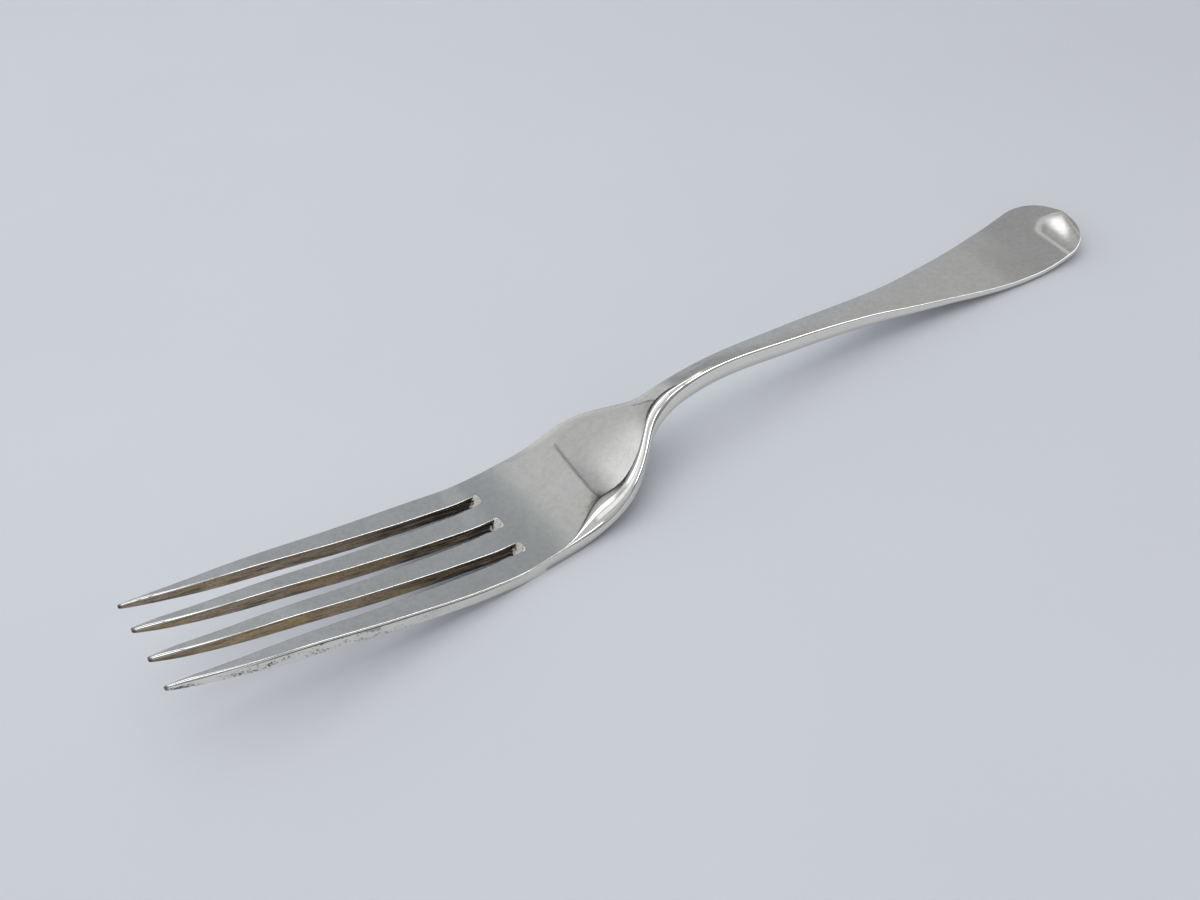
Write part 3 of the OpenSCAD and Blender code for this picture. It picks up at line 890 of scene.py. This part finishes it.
class FORK_OT_stage(bpy.types.Operator):
    """Pale table top, soft studio light and camera"""
    bl_idname = "fork.stage"
    bl_label = "Studio"

    # Table top: its reach and where it fades out, in metres, its clouds and their shades
    FLOOR_REACH = 4.0
    FLOOR_FADE = Ramp(0.22, 0.6)
    FLOOR_CLOUDS = Pattern(12, 3)
    FLOOR_SHADES = (0.97, 1.03)
    FLOOR_ROUGHNESS = 0.6

    # Corners of the ceiling, clockwise from above, in metres
    CEILING = ((-0.15, 0.395), (0.43, 0.345), (0.40, -0.32), (-0.3, -0.3), (-0.225, 0.36))
    # Its light in from its border, and what its dark seam leaves of that from the left to the right
    CEILING_LIGHT = Ramp(0, 0.12, 0.3, 0.55)
    SEAM_WIDTH = (0.02, 0.03)
    SEAM_LEVEL = Ramp(0.1, 0.3, 0.1, 0.7)
    # Pale frame that takes the seam's place on the right
    FRAME = Ramp(0.02, 0.025, 0.55, 0)
    FRAME_SIDE = Ramp(0.1, 0.3)

    # Ends and width of each light bar, in metres, and its brightness
    BARS = (
        ((0.21, -0.17), (1.1, -0.17), 0.3, 4.0), ((-0.21, 0.205), (0.36, 0.295), 0.12, 2.8),
        ((-0.02, -0.23), (0.34, -0.25), 0.12, 5.0), ((-0.26, 0.06), (0.02, 0.1), 0.2, 0.95))
    # Brightness of every bar at its border
    BAR_RIM = 0.45

    # Light of the walls, built up in order by products of ramps over the direction: x to the right,
    # y away, z up, aside to the right of the wall seam, apart to both its sides, left is 1 on its left
    WALLS = (
        # Brighter on the left, and low down
        ("ADD", {"x": Ramp(0.05, 0.34, 1.1, 0.68)}),
        ("ADD", {"z": Ramp(0.38, 0.64, 0.2, 0)}),
        # Pale patch on the far wall
        ("ADD", {"x": Ramp(0.3, 0.4), "y": Ramp(0.58, 0.64, 0, 0.16), "z": Ramp(0.555, 0.6)}),
        # Left of the seam a little dimmer, with a glow high up
        ("MULTIPLY", {"aside": Ramp(-0.02, 0, 0.93, 1)}),
        ("ADD", {"aside": Ramp(-0.115, -0.055, 0.75, 0), "z": Ramp(0.74, 0.8)}),
        # Brighter just over the table
        ("MULTIPLY", {"z": Ramp(0.12, 0.26, 1.1, 1)}),
        # The seam, and a soft shade on its left
        ("DARKEN", {"apart": Ramp(0.002, 0.006, 0.92, 0), "z": Ramp(0.735, 0.765)}),
        ("DARKEN", {"aside": Ramp(-0.075, -0.02, 0, 0.2), "left": Ramp(0, 1), "z": Ramp(0.77, 0.795)}),
        # Dimmer on the side of the camera, and a bright wall on the far left
        ("MULTIPLY", {"y": Ramp(-0.35, -0.1, 0.65, 1)}),
        ("ADD", {"x": Ramp(-0.6, -0.4, 0.9, 0)}))
    # Where that light is cooler
    COOL = {"x": Ramp(0.05, 0.34), "y": Ramp(0.5, 0.58)}

    # The nearest that the camera sees, in metres
    NEAREST = 0.01

    def sheet(self, name, corners, height, material):
        """A flat face of the stage over the given corners."""
        mesh = bpy.data.meshes.new(name)
        mesh.from_pydata([(x, y, height) for x, y in corners], [], [range(len(corners))])
        mesh.materials.append(material)
        sheet = add_object(name, mesh)
        return sheet

    def floor(self, studio):
        """A wide table top with faint clouds, at the height that the fork rests on.

        Far off, the camera and the silver see it run into the plain backdrop."""
        material, nodes = new_material("table_top")
        place = nodes.place()
        shades = (np.multiply(studio.floor, shade) for shade in self.FLOOR_SHADES)
        tint = nodes.blend(nodes.noise(place, self.FLOOR_CLOUDS), *shades)
        inputs = {"Base Color": tint, "Roughness": self.FLOOR_ROUGHNESS}
        near = nodes.add("ShaderNodeBsdfPrincipled", inputs).outputs[0]
        plain = nodes.add("ShaderNodeEmission", {0: studio.backdrop}).outputs[0]
        away = nodes.add("ShaderNodeVectorMath", {0: place}, operation="LENGTH").outputs["Value"]
        path = nodes.add("ShaderNodeLightPath").outputs
        seen = nodes.math("MAXIMUM", path["Is Camera Ray"], path["Is Glossy Ray"])
        far = nodes.product(nodes.ramp(away, self.FLOOR_FADE), seen)
        nodes.surface(nodes.add("ShaderNodeMixShader", {0: far, 1: near, 2: plain}))
        corners = np.array(((-1, -1), (1, -1), (1, 1), (-1, 1))) * self.FLOOR_REACH
        self.sheet("table_top", corners, 0, material)

    def light(self, name, corners, height, shade):
        """A flat light over the table that the camera doesn't see.

        Its brightness is the given shade of the distance in from its border."""
        material, nodes = new_material(name)
        place = nodes.place()
        inset = 1.0
        for start, stop in zip(corners, (*corners[1:], corners[0])):
            along = (Vector(stop) - Vector(start)).normalized()
            inward = Vector((along.y, -along.x, 0))
            border = inward.xy.dot(Vector(start))
            inset = nodes.math("MINIMUM", inset, nodes.math("SUBTRACT", nodes.dot(place, inward), border))
        nodes.surface(nodes.add("ShaderNodeEmission", {"Strength": shade(nodes, place, inset)}))
        light = self.sheet(name, corners, height, material)
        light.visible_camera = False
        return light

    def ceiling(self, studio):
        """A grey ceiling over the table, dark along its seam with the walls."""
        def shade(nodes, place, inset):
            x = nodes.axes(place)[0]
            seam = nodes.ramp(inset, Ramp(*self.SEAM_WIDTH, nodes.ramp(x, self.SEAM_LEVEL)))
            plain = nodes.product(nodes.ramp(inset, self.CEILING_LIGHT), seam)
            frame = nodes.product(nodes.ramp(inset, self.FRAME), nodes.ramp(x, self.FRAME_SIDE))
            return nodes.math("MAXIMUM", plain, frame)

        self.light("ceiling", self.CEILING, studio.ceiling_height, shade)

    def light_bar(self, studio, number, start, stop, width, strength):
        """One light bar under the ceiling, soft along its border.

        Each hangs a little higher than the one before it, so that no two share a plane."""
        def shade(nodes, place, inset):
            return nodes.ramp(inset, Ramp(0, studio.bar_border, self.BAR_RIM, strength))

        start, stop = Vector(start), Vector(stop)
        along = (stop - start).normalized() * width / 2
        across = Vector((along.y, -along.x))
        corners = [tuple(end) for end in (start - across, stop - across, stop + across, start + across)]
        height = studio.ceiling_height - studio.bar_drop / number
        bar = self.light(f"light_bar_{number}", corners, height, shade)
        bar.visible_diffuse = False

    def lamp(self, studio):
        """A soft lamp over the table that the silver doesn't mirror."""
        data = bpy.data.lights.new("soft_lamp", "AREA")
        data.size = studio.lamp_size
        data.energy = studio.lamp_power
        lamp = add_object("soft_lamp", data)
        lamp.location = studio.lamp_place
        lamp.visible_glossy = False

    def walls(self, studio):
        """Soft light from the walls, with a thin dark seam where two of them meet.

        The camera itself sees a plain pale background."""
        world = bpy.data.worlds.new("studio")
        world.use_nodes = True
        bpy.context.scene.world = world
        nodes = Nodes(world.node_tree)
        way = nodes.add("ShaderNodeTexCoord").outputs["Generated"]
        aside = nodes.dot(way, (math.cos(studio.seam), -math.sin(studio.seam), 0))
        ways = dict(zip("xyz", nodes.axes(way)))
        ways["aside"] = aside
        ways["apart"] = nodes.math("ABSOLUTE", aside)
        ways["left"] = nodes.math("LESS_THAN", aside, 0.0)

        def product(ramps):
            return nodes.product(*(nodes.ramp(ways[name], shape) for name, shape in ramps.items()))

        level = 0.0
        for action, ramps in self.WALLS:
            change = product(ramps)
            if action == "DARKEN":
                level = nodes.product(level, nodes.math("SUBTRACT", 1.0, change))
            else:
                level = nodes.math(action, level, change)
        tint = nodes.blend(product(self.COOL), studio.wall, studio.cool_wall)
        light = nodes.add("ShaderNodeBackground", {0: tint, 1: level}).outputs[0]
        plain = nodes.add("ShaderNodeBackground", {0: studio.backdrop}).outputs[0]
        seen = nodes.add("ShaderNodeLightPath").outputs["Is Camera Ray"]
        both = nodes.add("ShaderNodeMixShader", {0: seen, 1: light, 2: plain})
        nodes.add("ShaderNodeOutputWorld", {0: both.outputs[0]})

    def camera(self, studio):
        """A camera that looks at its target from the given side, rolled about its own axis."""
        flat = math.cos(studio.elevation)
        back = Vector((
            math.sin(studio.azimuth) * flat, -math.cos(studio.azimuth) * flat,
            math.sin(studio.elevation)))
        right = Vector((0, 0, 1)).cross(back).normalized()
        turn = Matrix((right, back.cross(right), back)).transposed()
        turn = turn @ Matrix.Rotation(studio.roll, 3, "Z")
        data = bpy.data.cameras.new("camera")
        data.lens = studio.lens
        data.clip_start = self.NEAREST
        camera = add_object("camera", data)
        place = Vector(studio.target) + back * studio.distance
        camera.matrix_world = Matrix.Translation(place) @ turn.to_4x4()
        bpy.context.scene.camera = camera

    def execute(self, context):
        studio = context.scene.fork_studio
        context.scene.view_settings.view_transform = "Standard"
        self.camera(studio)
        self.floor(studio)
        self.ceiling(studio)
        for number, bar in enumerate(self.BARS, 1):
            self.light_bar(studio, number, *bar)
        self.lamp(studio)
        self.walls(studio)
        return {"FINISHED"}


OPERATORS = (
    FORK_OT_stage, FORK_OT_tines, FORK_OT_palm, FORK_OT_neck, FORK_OT_stem, FORK_OT_handle_end)
GROUPS = {
    "fork_sizes": ForkSizes, "fork_edges": ForkEdges, "fork_finish": SilverFinish,
    "fork_studio": ForkStudio}


class FORK_PT_panel(bpy.types.Panel):
    """Lists the pieces of the fork and their sizes"""
    bl_idname = "FORK_PT_panel"
    bl_label = "Silver Dinner Fork"
    bl_space_type = "VIEW_3D"
    bl_region_type = "UI"
    bl_category = "Fork"

    def draw(self, context):
        for operator in OPERATORS:
            self.layout.operator(operator.bl_idname)
        for name, group in GROUPS.items():
            box = self.layout.box()
            for key in group.__annotations__:
                box.prop(getattr(context.scene, name), key)


def register():
    for cls in (*GROUPS.values(), *OPERATORS, FORK_PT_panel):
        bpy.utils.register_class(cls)
    for name, group in GROUPS.items():
        setattr(bpy.types.Scene, name, PointerProperty(type=group))


def unregister():
    for name in GROUPS:
        delattr(bpy.types.Scene, name)
    for cls in reversed((*GROUPS.values(), *OPERATORS, FORK_PT_panel)):
        bpy.utils.unregister_class(cls)


def main():
    register()
    bpy.ops.fork.stage()
    bpy.ops.fork.tines()
    bpy.ops.fork.palm()
    bpy.ops.fork.neck()
    bpy.ops.fork.stem()
    bpy.ops.fork.handle_end()


if __name__ == "__main__":
    main()
